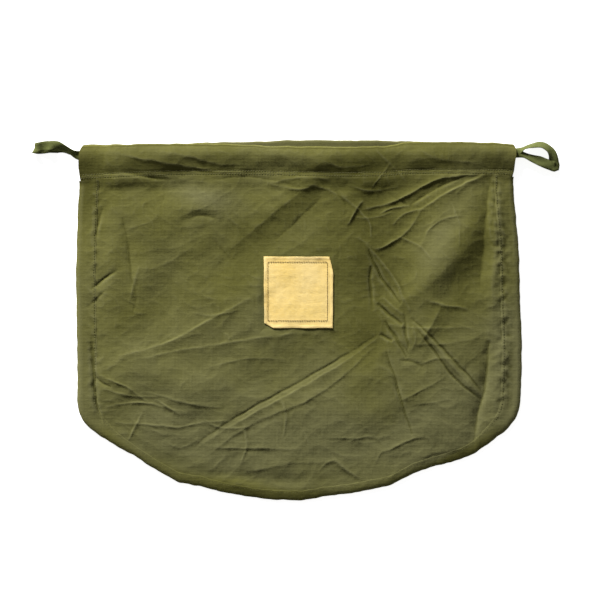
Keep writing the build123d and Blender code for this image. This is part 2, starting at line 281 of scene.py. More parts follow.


# Creases of the front, in from and out to its seams. Each is (points, height, fall to the
# left, fall to the right): a short fall gives a sharp side and a long one a facet of smooth cloth.
CREASES = [
    # long upright valleys near the right seam, with the broad dark slope on their left
    ([(251, 186), (243, 140), (236, 100), (228, 34)], -3.2, 7.0, 13.0),
    ([(150, -34), (168, -4), (184, 24)], 1.6, 9.0, 6.0),
    ([(262, 182), (255, 150), (247, 116)], -0.9, 3.6, 4.5),
    ([(238, -24), (236, -80), (227, -114), (220, -166)], -2.8, 4.0, 8.0),
    # the narrow strap of doubled cloth that runs down to the right
    ([(142, 4), (177, -31), (220, -76), (233, -94)], -1.4, 1.5, 1.6),
    ([(146, -6), (170, -38), (200, -76), (231, -99)], -1.4, 1.5, 1.6),
    ([(144, -1), (173, -34), (210, -76), (232, -96)], 1.4, 4.0, 4.0),
    # the broad pleat from the label's lower right down to the left
    ([(-132, -158), (-84, -125), (-36, -98), (8, -74), (52, -48), (100, -17)], -0.9, 1.6, 1.8),
    ([(-130, -162), (-80, -130), (-32, -104), (12, -80), (56, -53), (102, -20)], 0.9, 1.8, 6.0),
    ([(-118, -172), (-64, -134), (-24, -116), (22, -96), (60, -66), (104, -24)], 0.75, 7.0, 1.8),
    ([(160, 27), (186, 20), (214, 14)], 1.0, 3.0, 3.0),
    # ridges that run down from the right end of the hem
    ([(150, 137), (188, 160), (243, 186)], 1.7, 2.0, 7.0),
    ([(140, 146), (180, 169), (224, 186)], -1.1, 4.0, 2.0),
    ([(80, 141), (110, 147), (138, 159), (176, 178), (236, 187)], 1.7, 4.0, 2.0),
    ([(62, 120), (71, 138), (82, 154)], 1.4, 4.0, 2.0),
    ([(74, 106), (98, 91), (122, 101), (142, 118), (156, 140)], 1.2, 3.6, 2.0),
    ([(118, 120), (132, 134), (160, 142)], 0.9, 2.2, 3.2),
    ([(152, 90), (168, 118), (190, 140)], 0.35, 2.2, 4.2),
    ([(96, 176), (128, 152), (150, 143), (176, 146)], -0.45, 2.0, 2.6),
    ([(66, 132), (92, 130), (120, 138)], 0.7, 1.8, 2.6),
    ([(-210, 6), (-206, 36), (-216, 62)], -0.5, 2.0, 3.0),
    ([(-120, -130), (-96, -136), (-60, -134)], 0.6, 1.6, 1.8),
    # the diagonal slope between the hem and the label, and the soft forms on its left
    ([(-92, 84), (-48, 122), (-8, 156), (26, 180)], 3.0, 24.0, 15.0),
    ([(-30, 100), (4, 132), (30, 158)], -0.8, 4.0, 7.0),
    ([(-172, 150), (-132, 141), (-84, 138)], 1.0, 13.0, 8.0),
    ([(-150, 126), (-124, 132), (-100, 128)], -1.0, 5.0, 4.0),
    ([(-224, 130), (-215, 90), (-210, 36)], -1.5, 6.0, 4.0),
    ([(-2, 176), (30, 170), (56, 158), (72, 140)], 0.9, 5.0, 3.0),
    ([(-40, 176), (-6, 168), (24, 172)], 1.2, 4.0, 3.0),
    ([(46, 168), (58, 150), (60, 132)], -0.8, 3.0, 3.0),
    ([(62, 176), (92, 166), (128, 172)], 0.9, 3.0, 3.0),
    ([(120, 108), (150, 96), (170, 74)], 0.7, 1.6, 1.6),
    ([(196, 150), (206, 120), (204, 92)], 0.6, 1.6, 1.8),
    ([(66, 150), (88, 126), (92, 104)], 0.8, 1.6, 2.0),
    ([(100, 134), (118, 142), (142, 146)], 0.9, 1.6, 1.6),
    ([(160, 110), (186, 128), (214, 134)], 0.6, 1.8, 1.6),
    # crossings to the right of the label
    ([(88, 90), (98, 68), (109, 47), (130, 21)], -2.2, 1.5, 1.7),
    ([(80, 98), (97, 85), (112, 65), (124, 46), (142, 10)], 1.3, 1.8, 4.0),
    ([(92, 70), (91, 44), (94, 12)], -1.8, 1.5, 1.8),
    ([(100, 21), (116, 7), (132, -5)], -2.0, 1.6, 2.6),
    ([(104, 30), (120, 16), (136, 6)], 0.9, 2.0, 4.0),
    ([(134, 10), (136, -18), (139, -30), (137, -42)], -1.5, 1.6, 2.2),
    ([(109, 0), (122, -20), (137, -47)], -1.7, 1.6, 2.4),
    ([(116, -8), (128, -26), (140, -44)], -0.9, 1.8, 2.0),
    ([(102, -16), (110, -20), (120, -26)], -1.7, 1.8, 1.8),
    ([(144, -6), (148, -24), (142, -42)], 0.5, 2.0, 2.0),
    ([(127, -50), (141, -51), (157, -58)], -0.9, 1.6, 3.0),
    ([(111, -38), (120, -69), (135, -119), (143, -150)], -2.0, 1.6, 3.0),
    ([(128, -104), (154, -90), (186, -70)], 0.6, 3.6, 1.6),
    ([(126, -110), (160, -108), (196, -100)], 0.3, 2.6, 1.6),
    ([(146, -30), (184, -30), (226, -22)], 0.6, 4.0, 2.2),
    ([(104, -4), (150, -9), (222, -10)], 0.5, 2.0, 2.2),
    ([(150, -56), (176, -48), (204, -50)], 0.5, 1.8, 1.8),
    # left side, close to the seam
    ([(-249, 142), (-254, 120), (-258, 98)], -1.1, 2.2, 3.2),
    ([(-228, 64), (-246, 52), (-264, 38)], -1.4, 2.4, 2.2),
    ([(-244, 38), (-256, 26), (-272, 14)], -0.9, 2.2, 2.2),
    ([(-200, 70), (-208, 46), (-214, 22)], 0.8, 2.7, 3.7),
    ([(-262, -20), (-260, -69), (-256, -102), (-248, -130), (-240, -154)], -3.0, 2.6, 2.6),
    ([(-262, -66), (-252, -76), (-236, -84)], -1.4, 2.0, 3.0),
    ([(-256, -98), (-250, -118), (-243, -146)], 1.4, 1.6, 3.0),
    # long shallow ridges from the left corner to the middle
    ([(-226, -54), (-160, -40), (-74, -25), (2, -16), (52, -13)], 0.7, 2.0, 6.0),
    ([(-230, -46), (-162, -27), (-118, -2), (-60, 28)], 1.2, 2.2, 9.0),
    ([(-255, -68), (-220, -84), (-190, -104)], 0.9, 1.8, 1.8),
    ([(-192, -90), (-143, -103), (-96, -111)], 0.8, 1.8, 1.8),
    ([(-246, -110), (-194, -105), (-140, -115)], 0.8, 1.8, 2.0),
    ([(-238, -131), (-162, -132), (-86, -127)], 0.7, 1.8, 1.8),
    ([(-216, -155), (-206, -136), (-197, -117)], 1.0, 1.6, 1.8),
    ([(-170, -150), (-150, -158), (-126, -150)], 0.5, 2.7, 1.5),
    ([(-96, -12), (-88, -20), (-84, -34)], 0.4, 1.5, 2.7),
    ([(-181, -99), (-164, -110), (-147, -118)], 0.8, 1.6, 1.6),
    ([(-252, -84), (-214, -96), (-176, -96)], 0.6, 1.6, 1.8),
    ([(-120, -60), (-60, -48), (-10, -50)], 0.5, 1.8, 1.8),
    ([(-140, 10), (-112, 6), (-70, 14)], 0.5, 1.6, 2.0),
    ([(-68, -130), (-66, -160), (-74, -184)], 0.6, 1.6, 1.6),
    ([(-24, -96), (-16, -120), (-20, -150)], 0.6, 1.6, 1.6),
    # along the bottom
    ([(-122, -160), (-60, -162), (4, -164)], 0.8, 4.7, 1.5),
    ([(-84, -196), (-36, -186), (2, -180), (36, -184)], 0.5, 5.0, 2.4),
    ([(6, -138), (14, -158), (20, -172)], 0.5, 2.7, 1.8),
    ([(24, -196), (44, -182), (66, -198), (84, -206)], 1.0, 3.2, 2.2),
    ([(30, -150), (56, -152), (98, -150)], 0.5, 3.2, 1.5),
    ([(98, -186), (102, -173), (112, -167), (158, -154), (170, -166)], 0.7, 3.7, 1.5),
    ([(62, -158), (76, -152), (120, -150)], 0.5, 2.2, 2.2),
    ([(150, -182), (184, -170), (222, -160)], 0.6, 4.7, 2.2),
    ([(-110, -206), (-70, -212), (-30, -214)], 0.5, 3.2, 2.2),
    # along the hem
    ([(-258, 196), (-222, 193), (-186, 184), (-150, 182)], -1.3, 4.5, 2.7),
    ([(-236, 218), (-196, 208), (-150, 200), (-104, 192), (-66, 189)], 1.3, 4.0, 2.2),
    ([(-176, 216), (-140, 211), (-104, 202), (-70, 200)], 0.9, 3.2, 2.2),
    ([(-120, 180), (-60, 184), (-10, 176)], -0.8, 2.7, 2.7),
    ([(-36, 176), (0, 184), (40, 182)], 0.7, 2.7, 2.2),
    ([(98, 222), (118, 200), (138, 176)], 0.6, 1.4, 1.4),
    ([(118, 206), (104, 186), (90, 166)], 0.5, 1.4, 1.4),
    ([(30, 206), (56, 200), (92, 204)], 0.6, 2.2, 2.2),
    ([(150, 218), (178, 206), (236, 200)], 0.7, 3.2, 2.2),
]

# Patches that are paler, partly dye that has paled and partly painted light, and darker ones (below 0),
# which are painted shade:
# (x, y, half length, half width, degrees, strength)
FADE_AND_PAINTED_SHADING_PATCHES = [
    (-190, 193, 76, 8, -3, -0.3),
    (236, 92, 70, 14, 86, -0.4),
    (212, 60, 40, 14, 80, -0.8),
    (92, 206, 56, 12, 0, -0.5),
    (44, 190, 46, 8, 4, -0.5),
    (104, 176, 54, 15, -6, -0.6),
    (-16, 132, 62, 12, 42, -0.5),
    (92, 130, 80, 46, 84, -0.8),
    (86, 8, 82, 36, 88, -0.9),
    (-268, 172, 56, 28, 84, -0.9),
    (-74, 62, 50, 20, 60, -0.5),
    (-226, -8, 46, 26, 84, -0.3),
    (268, -50, 80, 18, 88, 0.9),
    (170, -150, 70, 26, 20, 0.9),
    (60, -150, 80, 26, 8, 0.5),
    (-130, -150, 60, 30, -24, 0.7),
    (-78, -206, 46, 9, -8, -0.7),
    (182, 108, 44, 22, 64, 0.6),
    (-122, 156, 40, 14, -16, 0.7),
    (252, 90, 90, 8, 88, 0.4),
    (200, -104, 60, 30, 30, 0.35),
    (-40, -140, 90, 30, 16, 0.4),
    (-60, 20, 60, 40, 20, 0.25),
]

# Broad swells and hollows: (x, y, half length, half width, degrees, height)
SWELLS = [
    (178, 84, 74, 34, 74, 2.8),
    (190, 76, 68, 21, 46, 3.4),
    (250, 70, 80, 9, 86, 1.6),
    (254, -70, 56, 12, 88, 2.2),
    (24, 140, 60, 18, 42, -0.8),
    (-52, 112, 52, 16, 40, -1.2),
    (-196, 130, 60, 20, -62, 2.2),
    (-236, 60, 70, 14, 88, 1.4),
    (-170, 40, 60, 24, 70, -1.8),
    (-110, 146, 60, 26, 8, 2.0),
    (-20, -60, 70, 26, 30, -1.4),
    (190, -136, 52, 26, 18, 1.1),
    (60, -118, 70, 24, 14, 0.8),
    (-150, -78, 70, 22, -14, 1.1),
    (-40, -200, 70, 9, -4, -1.2),
    (90, 176, 46, 14, 20, 1.6),
    (48, 84, 16, 40, 10, -1.2),
]
SWELL_SHARE = 1.35


def swell(x, y, place_x, place_y, half_length, half_width, degrees, height):
    along, across = turned(x - place_x, y - place_y, degrees)
    return height * np.exp(-((along / half_length) ** 2) - (across / half_width) ** 2)


def fade_and_painted_shading_at(x, y):
    """How pale the cloth is, up to 1, partly from dye that has paled and partly painted light; below 0 it
    is darker, which is painted shade.
    """
    total = 0.15 + 0.45 * smooth_step(-y, -90, 110)
    total += 0.25 * noise(x, y, 70, 61) + 0.12 * noise(x, y, 21, 62)
    for place in FADE_AND_PAINTED_SHADING_PATCHES:
        total += swell(x, y, *place)
    # Along the bottom, the strip where the edge rolls under is darkened, most where it is turned down:
    # painted shade.
    turned_down = sum(hump(x, place, reach) for place, reach, _ in TURNED_DOWN)
    rolled_edge_shade = smooth_step(-y, 110, 150) * (1 - smooth_step(edge_distance(x, y), 5, 18))
    return np.clip(total - (0.3 + 0.9 * turned_down) * rolled_edge_shade, -1, 1)


def edge_distance(x, y):
    """How far inside the bag's outline a point is."""
    ax = np.abs(x)
    side = HALF_WIDTH - ax
    bottom = BOTTOM_RADIUS - np.hypot(x, y - BOTTOM_CENTRE_Y)
    cx, cy = ax - CORNER_X, y - CORNER_Y
    in_corner = (cx > 0) & (cy < 0) & (np.arctan2(cy, cx) > -CORNER_SWEEP)
    inside = np.minimum(side, np.where(y < BOTTOM_CENTRE_Y, bottom, side))
    return np.where(in_corner, CORNER_RADIUS - np.hypot(cx, cy), inside)


def near_label(x, y, border=8.0):
    """1 on the label, falling to 0 over the border round it."""
    out_x = np.maximum(LABEL_LEFT - x, x - LABEL_RIGHT)
    out_y = np.maximum(LABEL_BOTTOM - y, y - LABEL_TOP)
    return 1 - smooth_step(np.maximum(out_x, out_y), -2.0, border)


def wrinkles(x, y):
    """The creases and crumples of the front cloth."""
    wx = x + 4 * noise(x, y, 46, 11)
    wy = y + 4 * noise(x, y, 46, 12)
    bent = wx + 3 * noise(x, y, 21, 16)
    falling = turned(wx, wy, -38, 2.2)
    rising = turned(wx, wy, 33, 2.6)
    total = 1.8 * noise(x, y, 120, 1)
    total += 0.9 * noise(*rising, 42, 2)
    total += 0.7 * noise(*falling, 34, 3)
    total += 0.25 * ridges(*falling, 60, 4)
    total += 0.25 * ridges(*rising, 52, 5)
    total += 0.26 * noise(wx, wy, 17, 6)
    total += 0.22 * ridges(*turned(wx, wy, 12, 1.8), 21, 8)
    total += 0.16 * ridges(*turned(bent, wy, -52, 1.6), 12, 9)
    total += 0.08 * noise(wx, wy, 7, 7)
    for place in SWELLS:
        total += SWELL_SHARE * swell(x, y, *place)
    bent_x = x + 0.3 * (wx - x) + 0.8 * noise(x, y, 15, 13)
    bent_y = y + 0.3 * (wy - y) + 0.8 * noise(x, y, 15, 14)
    for points, height, left, right in CREASES:
        total += crease(bent_x, bent_y, points, height, left, right)
    return total


def along_bottom(y):
    """0 up the sides of the bag and 1 along its bottom."""
    return smooth_step(-y, 90, 150)


def band_width(y):
    """The seam band is wide up the sides and narrow along the bottom."""
    return SIDE_BAND + (BOTTOM_BAND - SIDE_BAND) * smooth_step(-y, 120, 175)


def puckers(x, y, distance):
    """Short ripples across a seam, pulled up by its stitches."""
    run = np.where(np.abs(x) > CORNER_X, y, x)
    from_row = np.abs(distance - band_width(y) + ROW_INSET)
    ripple = 0.75 * noise(run, distance, 7.5, 21) + 0.55 * noise(run, distance * 0.6, 13, 22)
    pulled = 0.6 + 0.4 * smooth_step(x, 0, 200) * (1 + 1.5 * hump(y, 95, 55))
    pulled *= 1 - 0.7 * along_bottom(y)
    return pulled * ripple * np.exp(-from_row / 9.0)


def front_height(x, y):
    """Height of the front cloth over the floor, at a point of the bag's outline."""
    distance = np.clip(edge_distance(x, y), 0, None)
    rounding = EDGE_ROUNDING * (1 + along_bottom(y) * (0.4 + humps(x, TURNED_DOWN)))
    turn = np.clip(1 - distance / rounding, 0, 1)
    rise = np.sqrt(np.clip(1 - turn**2, 0, 1))
    body = smooth_step(distance, 0, BODY_REACH * (1 + smooth_step(-y, 40, 140)))
    base = EDGE_HEIGHT + (REST_HEIGHT - EDGE_BODY - EDGE_HEIGHT) * rise + EDGE_BODY * body
    hem = smooth_step(y, HEM_Y - 8, HEM_Y + 6)
    base += hem * np.clip(HEM_END_HEIGHT - base, 0, None)
    fall = 0.6 + 0.5 * noise(x, 0 * y, 90, 24) + humps(x, HEM_FALLS)
    drop = smooth_step(y, HEM_Y - 20, HEM_Y + 3) * fall
    base += HEM_RISE * drop * smooth_step(distance, 0, 40)
    calm = 1 - 0.75 * near_label(x, y)
    strength = smooth_step(distance, 1, 24) * calm
    ripples = 0.7 * np.exp(-np.abs(y - HEM_Y - 4) / 9.0) * noise(x, y * 0.5, 11, 23)
    height = base + strength * (1 - 0.25 * hem) * wrinkles(x, y)
    height += puckers(x, y, distance) * smooth_step(distance, 2, 8) * (1 - hem) + 0.5 * ripples
    for row in HEM_ROWS:
        height -= 0.3 * hump(y - HEM_Y, row, 1.2)
    return np.maximum(height, LOWEST_TOP)


# How the laid bag's outline strays from the pattern that it was cut to: (place, shift) pairs
TOP_SHIFT = [(-281, -6.5), (-268, -5.5), (-230, -5), (-150, -3.5), (-60, -5), (-30, -7.5), (60, -8)]
TOP_SHIFT += [(110, -7), (135, -2.5), (190, -1.5), (255, -2.5), (272, -3.6), (281, -4.6)]
BACK_TOP_SHIFT = [(-281, -6), (-268, -5), (-230, -5), (-150, -4), (-60, -1.5), (0, 0), (100, 0), (150, -2)]
BACK_TOP_SHIFT += [(255, -3.5), (272, -5), (281, -6)]
BOTTOM_SHIFT = [(-281, 0), (-208, 3), (-152, -5), (-123, 0), (-40, 0), (5, 0), (33, 4), (86, 4), (116, 3)]
BOTTOM_SHIFT += [(146, 9), (168, 8), (198, 2), (222, -3), (281, 0)]
LEFT_SHIFT = [(-110, 0), (-75, 1), (0, 0), (60, -1), (106, 0.5), (150, 2), (178, 3.6), (186, 3.2)]
LEFT_SHIFT += [(194, 2), (200, 1.2), (214, 1.5), (220, 2.5), (225, 5.0), (230, 9)]
RIGHT_SHIFT = [(-110, 0), (-60, 1.5), (-22, 2), (20, 0), (60, -1), (95, -2), (150, -7.5), (176, -8.8)]
RIGHT_SHIFT += [(186, -8.2), (192, -6.6), (204, -5), (216, -4), (222, -4.6), (226, -6.5), (230, -10)]
HEM_SHIFT = [(-281, -4.5), (-200, -1.5), (-120, 0), (-20, 1.5), (80, 0), (281, 0)]  # where the hem is sewn


def shift_from(pairs, at):
    """A smooth curve through (place, shift) pairs."""
    places, shifts = np.array(pairs, float).T
    fine = np.arange(places[0], places[-1] + 1.0, 1.0)
    values = np.interp(fine, places, shifts)
    kernel = np.hanning(11)
    kernel /= kernel.sum()
    padded = np.pad(values, 5, mode="edge")
    return np.interp(at, fine, np.convolve(padded, kernel, mode="valid"))


def stray(x, y, top_shift=TOP_SHIFT):
    """Moves points of the cut pattern to where the laid bag's cloth lies."""
    top = smooth_step(y, 120, TOP)
    bottom = smooth_step(-y, 60, 190)
    left = smooth_step(-x, 120, HALF_WIDTH)
    right = smooth_step(x, 120, HALF_WIDTH)
    lumps = 0.9 * noise(x, y, 17, 71) + 0.5 * noise(x, y, 8, 72)
    new_x = x + left * shift_from(LEFT_SHIFT, y) + right * shift_from(RIGHT_SHIFT, y)
    new_y = y + top * shift_from(top_shift, x) + bottom * shift_from(BOTTOM_SHIFT, x)
    new_y = new_y + shift_from(HEM_SHIFT, x) * hump(y, HEM_Y, 24)
    return new_x + (right - left) * 0.6 * lumps, new_y + (top - bottom) * 0.8 * lumps


def placed(x, y, z, top_shift=TOP_SHIFT):
    """Points of the cut pattern where they come to lie, at the heights z."""
    return np.stack(stray(x, y, top_shift) + (z,), -1)


# ---- mesh building


def link_mesh(name, points, faces, materials):
    """A piece from points in millimetres."""
    mesh = bpy.data.meshes.new(name)
    mesh.from_pydata((np.asarray(points) * MM).tolist(), [], faces)
    mesh.update()
    piece = bpy.data.objects.new(name, mesh)
    bpy.context.collection.objects.link(piece)
    for material in materials:
        mesh.materials.append(material)
    mesh.polygons.foreach_set("use_smooth", [True] * len(mesh.polygons))
    return piece


def grid_normals(points):
    """Unit normals of a grid of points, (rows, columns, 3)."""
    along = np.gradient(points, axis=1)
    up = np.gradient(points, axis=0)
    normals = np.cross(along, up)
    return normals / np.maximum(np.linalg.norm(normals, axis=2, keepdims=True), 1e-9)


def shell(name, points, thickness, material, normals=None, tone=None, fade_and_painted_shading=None):
    """A closed sheet of cloth: the grid's face, its back one thickness below, and its rim."""
    rows, columns, _ = points.shape
    if normals is None:
        normals = grid_normals(points)
    under = points - normals * thickness
    count = rows * columns
    index = np.arange(count).reshape(rows, columns)
    a, b = index[:-1, :-1].ravel(), index[:-1, 1:].ravel()
    c, d = index[1:, 1:].ravel(), index[1:, :-1].ravel()
    faces = np.stack([a, b, c, d], 1).tolist()
    faces += (np.stack([d, c, b, a], 1) + count).tolist()
    rim = np.concatenate([index[0, :], index[1:, -1], index[-1, -2::-1], index[-2:0:-1, 0]])
    following = np.roll(rim, -1)
    faces += np.stack([rim + count, following + count, following, rim], 1).tolist()
    piece = link_mesh(name, np.vstack([points.reshape(-1, 3), under.reshape(-1, 3)]), faces, [material])
    if fade_and_painted_shading is None:
        fade_and_painted_shading = fade_and_painted_shading_at(points[..., 0], points[..., 1])
    for word, values in (("tone", tone), ("fade_and_painted_shading", fade_and_painted_shading)):
        if values is not None:
            attribute = piece.data.attributes.new(word, "FLOAT", "POINT")
            attribute.data.foreach_set("value", np.tile(values.ravel(), 2).astype(np.float32))
    flat = normals.reshape(-1, 3)
    piece.data.normals_split_custom_set_from_vertices(np.vstack([flat, -flat]).tolist())
    return piece


def relief(height, spacing, reach=3):
    """How much each point of a height grid stands over its neighbours: crests above 0, grooves below."""
    blurred = height.copy()
    for _ in range(reach):
        padded = np.pad(blurred, 1, mode="edge")
        blurred = (padded[:-2, 1:-1] + padded[2:, 1:-1] + padded[1:-1, :-2] + padded[1:-1, 2:]) / 4
    return (height - blurred) / spacing


def low_edge(x, inset):
    """The y of the bag's lower outline, moved in by inset."""
    bottom = BOTTOM_RADIUS - inset
    corner = CORNER_RADIUS - inset
    ax = np.abs(x)
    tangent_x = CORNER_X + corner * math.cos(CORNER_SWEEP)
    on_bottom = BOTTOM_CENTRE_Y - np.sqrt(np.clip(bottom**2 - ax**2, 0, None))
    on_corner = CORNER_Y - np.sqrt(np.clip(corner**2 - np.clip(ax - CORNER_X, 0, None) ** 2, 0, None))
    return np.where(ax < tangent_x, on_bottom, on_corner)


def columns_to(inset, step):
    """The x of a cloth's columns from the middle to its side, closer together at the rounded corner."""
    corner = CORNER_RADIUS - inset
    straight = np.linspace(0, CORNER_X, int(CORNER_X / step) + 1)
    turns = np.linspace(0, math.pi / 2, int(corner * 1.4 / step) + 1)[1:]
    return np.concatenate([straight, CORNER_X + corner * np.sin(turns)])


def hem_tunnel(x, y, height):
    """Upper and lower heights of the turned hem, over its run from the stitches to its fold."""
    along = np.clip((y - HEM_Y - HEM_ROWS[1]) / (TOP - HEM_Y - HEM_ROWS[1]), 0, 1)
    puff = np.sin(math.pi * along ** (1.2 + 0.5 * noise(x, 0 * y, 64, 33)) * 0.9)
    fullness = 3.6 + 1.6 * noise(x, y * 0.5, 74, 31) + 0.5 * noise(x, y, 22, 32)
    upper = height + fullness * puff
    lower = height - 0.9 - 1.6 * puff
    return upper, lower


def panel_grid(inset, x_line, step, hem_top):
    """Columns and rows of a panel from its low edge up to the hem, and those of the hem, which is wider."""
    low = low_edge(x_line, inset)
    share = np.linspace(0, 1, int((HEM_Y - low.min()) / step))[:, None]
    panel_y = low + share * (HEM_Y - low)
    wide = x_line * HEM_HALF / x_line[-1]
    panel_x = x_line + smooth_step(panel_y, HEM_Y - 9, HEM_Y) * (wide - x_line)
    hem_y = np.arange(HEM_Y + step, hem_top, step)[:, None] + 0 * x_line
    hem_x = np.tile(wide, (len(hem_y), 1))
    return panel_x, panel_y, hem_x, hem_y


def hem_fold(x_line, turns, place_y, depth, upper, lower):
    """Rows that turn at the hem's fold, between its upper layer and its lower one."""
    angles = np.radians(turns)[:, None]
    x = np.tile(x_line, (len(turns), 1))
    y = place_y + depth * np.cos(angles) + 0 * x
    z = (upper + lower) / 2 + (upper - lower) / 2 * np.sin(angles)
    return x, y, z


def laid(layers, top_shift):
    """One grid of points from a cloth's layers, each its x, y and z, as the cloth lies on the floor."""
    x, y, z = (np.vstack(rows) for rows in zip(*layers))
    return placed(x, y, z, top_shift)


def front_cloth(side):
    """Half of the front: the panel from under the bottom seam up to the hem, the hem's face, its fold and
    its turned-in layer. side is -1 for the left half and 1 for the right."""
    x_line = columns_to(MARGIN, STEP)
    panel_x, panel_y, hem_x, hem_y = panel_grid(MARGIN, x_line, STEP, TOP - 2.0)
    x = side * np.vstack([panel_x, hem_x])
    y = np.vstack([panel_y, hem_y])
    height = front_height(x, y)
    upper, lower = hem_tunnel(x, y, height)
    z = np.where(y > HEM_Y, upper, height)
    turns = (75, 45, 15, -15, -45, -75)
    fold = hem_fold(side * hem_x[0], turns, TOP - 2.0 - STEP / 2, 2.0, upper[-1], lower[-1])
    inner = (side * hem_x[::-2], hem_y[::-2], lower[len(panel_y) :][::-2])
    points = laid([(x, y, z), fold, inner], TOP_SHIFT)
    tone = np.zeros(points.shape[:2])
    # The relief, which the shader turns into paler crests and painted shade in the grooves.
    tone[: len(z)] = relief(z, STEP)
    return points, tone


def join_normals(left, right):
    """Normals for two half grids that meet at the middle, so that no line shows there."""
    whole = np.concatenate([left[:, ::-1], right[:, 1:]], axis=1)
    normals = grid_normals(whole)
    middle = left.shape[1] - 1
    return normals[:, : middle + 1], normals[:, middle:]


def make_front(material):
    right_points, right_tone = front_cloth(1)
    left_points, left_tone = front_cloth(-1)
    left_normals, right_normals = join_normals(left_points, right_points)
    for side, points, normals, tone in (
        (-1, left_points[:, ::-1], left_normals, left_tone[:, ::-1]),
        (1, right_points, right_normals, right_tone),
    ):
        name = "front_cloth_left" if side < 0 else "front_cloth_right"
        piece = shell(name, points, CLOTH, material, normals, tone)
        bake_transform(piece)
        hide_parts("front_panel", "front_casing")


def make_back(material):
    """The back: one sheet flat on the floor, with its own turned hem round the tape."""
    x_half = columns_to(BACK_MARGIN, COARSE_STEP)
    x_line = np.concatenate([-x_half[:0:-1], x_half])
    panel_x, panel_y, hem_x, hem_y = panel_grid(BACK_MARGIN, x_line, COARSE_STEP, TOP - 1.5)
    x, y = np.vstack([panel_x, hem_x]), np.vstack([panel_y, hem_y])
    z = CLOTH + 0.15 + 0.35 * (1 + noise(x, y, 40, 41)) * smooth_step(edge_distance(x, y), 0, 12)
    wide = hem_x[0]
    upper = 3.4 + 0.6 * noise(wide, 0 * wide, 30, 42)
    fold = hem_fold(wide, (-70, -35, 0, 35, 70), TOP - 2.6, 2.4, upper, z[-1])
    inner_y = hem_y[::-1]
    along = (inner_y - HEM_Y) / (TOP - HEM_Y)
    inner_z = z[len(panel_y) :][::-1] + 0.8 + (upper - z[-1] - 0.8) * smooth_step(along, 0.12, 0.45)
    points = laid([(x, y, z), fold, (hem_x[::-1], inner_y, inner_z)], BACK_TOP_SHIFT)
    piece = shell("back_cloth", points, CLOTH, material, tone=np.zeros(points.shape[:2]))
    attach(piece, "root")
    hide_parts("back_panel", "back_casing")


def arc(centre_x, centre_y, radius, start, end, step):
    """Points along an arc of the outline, and their outward directions."""
    angles = np.arange(start, end, step / radius)
    outward = np.stack([np.cos(angles), np.sin(angles)], 1)
    return np.array([centre_x, centre_y]) + radius * outward, outward


def outline_run(step):
    """The outline from the top of the left side, round the bottom, to the top of the right side, as
    points with their outward directions."""
    side_y = np.arange(HEM_Y - 1.0, CORNER_Y, -step)
    left = np.stack([np.full_like(side_y, -HALF_WIDTH), side_y], 1)
    out_left = np.tile([-1.0, 0.0], (len(side_y), 1))
    start, end = math.pi + CORNER_SWEEP, 2 * math.pi - CORNER_SWEEP
    runs = [
        (left, out_left),
        arc(-CORNER_X, CORNER_Y, CORNER_RADIUS, math.pi, start, step),
        arc(0, BOTTOM_CENTRE_Y, BOTTOM_RADIUS, start, end, step),
        arc(CORNER_X, CORNER_Y, CORNER_RADIUS, end, 2 * math.pi, step),
        (left[::-1] * [-1, 1], -out_left),
    ]
    return np.vstack([points for points, _ in runs]), np.vstack([outward for _, outward in runs])


def seam_ends(points):
    """Where the bottom seam starts and ends along the outline's points."""
    return (
        int(np.argmax(points[:, 1] <= CORNER_Y)),
        len(points) - 1 - int(np.argmax(points[::-1, 1] <= CORNER_Y)),
    )


def band_points(points, outward):
    """The seam band's grid: from under the bag, round its edge, and in to the band's free edge."""
    x0, y0 = points[:, 0], points[:, 1]
    width = band_width(y0)
    inward = np.linspace(0, 1, 17) ** 1.25
    flush = along_bottom(y0)
    rows = []
    for depth, height in ((7.0, 0.35), (3.5, 0.4), (1.2, 0.6), (0.25, 1.0)):
        rows.append((x0 - outward[:, 0] * depth, y0 - outward[:, 1] * depth, height + 0 * x0))
    for share in inward:
        depth = share * width
        x, y = x0 - outward[:, 0] * depth, y0 - outward[:, 1] * depth
        lift = (0.34 - 0.22 * flush) * smooth_step(depth, 0.5, 5) + 0.12 - 0.02 * flush
        z = front_height(x, y) + lift
        z -= 0.25 * (1 - flush) * hump(depth, width - ROW_INSET, 1.1)
        rows.append((x, y, z))
    depth = width + 0.45
    x, y = x0 - outward[:, 0] * depth, y0 - outward[:, 1] * depth
    rows.append((x, y, front_height(x, y) - 0.1))
    return np.array([placed(x, y, z) for x, y, z in rows])


def make_bands(material):
    points, outward = outline_run(STEP)
    grid = band_points(points, outward)
    raised = 1 - along_bottom(points[:, 1])
    # The relief, which the shader turns into paler crests and painted shade in the grooves.
    tone = np.vstack([np.zeros((4, len(points))), relief(grid[4:, :, 2], STEP) * raised])
    left_end, right_start = seam_ends(points)
    normals = grid_normals(grid)
    parts = {
        "left_seam_cloth": (slice(0, left_end + 1), "left_seam_band"),
        "bottom_seam_cloth": (slice(left_end, right_start + 1), "bottom_seam_band"),
        "right_seam_cloth": (slice(right_start, len(points)), "right_seam_band"),
    }
    for name, (part, node) in parts.items():
        piece = shell(name, grid[:, part], CLOTH, material, normals[:, part], tone[:, part])
        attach(piece, "root")
        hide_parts(node)


# ---- stitches


